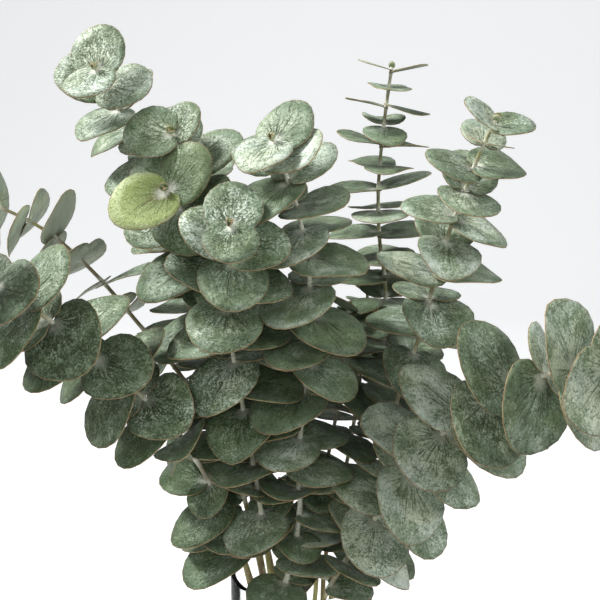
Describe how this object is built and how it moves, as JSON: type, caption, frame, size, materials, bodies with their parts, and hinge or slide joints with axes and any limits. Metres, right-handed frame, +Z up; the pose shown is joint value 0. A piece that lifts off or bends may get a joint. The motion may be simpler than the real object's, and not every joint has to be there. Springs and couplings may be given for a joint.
{
  "type": "eucalyptus bouquet in a glass vase",
  "caption": "Loose bunch of round-leaved eucalyptus stems that arch out of a clear, straight glass vase partly filled with water.",
  "frame": {"origin": "middle of the flat foot of the vase, on the surface it stands on", "axes": "+Z up along the vase's axis, +X to the right and +Y away from someone who looks at the bouquet's front"},
  "size_m": [0.4105, 0.2739, 0.5224],
  "materials": {
    "leaf": "matte",
    "glass": "gloss",
    "water": "gloss"
  },
  "bodies": {
    "root": {"glass_vase": "glass", "water": "water", "stem_centre_left": "leaf", "stem_centre": "leaf", "stem_young_tip": "leaf", "stem_upright_left": "leaf", "stem_low_left": "leaf", "stem_low_right": "leaf", "stem_slender": "leaf", "stem_right": "leaf", "stem_high_left": "leaf", "stem_far_left": "leaf", "stem_core": "leaf", "stem_back_centre": "leaf", "stem_back_right": "leaf"}
  },
  "joints": []
}
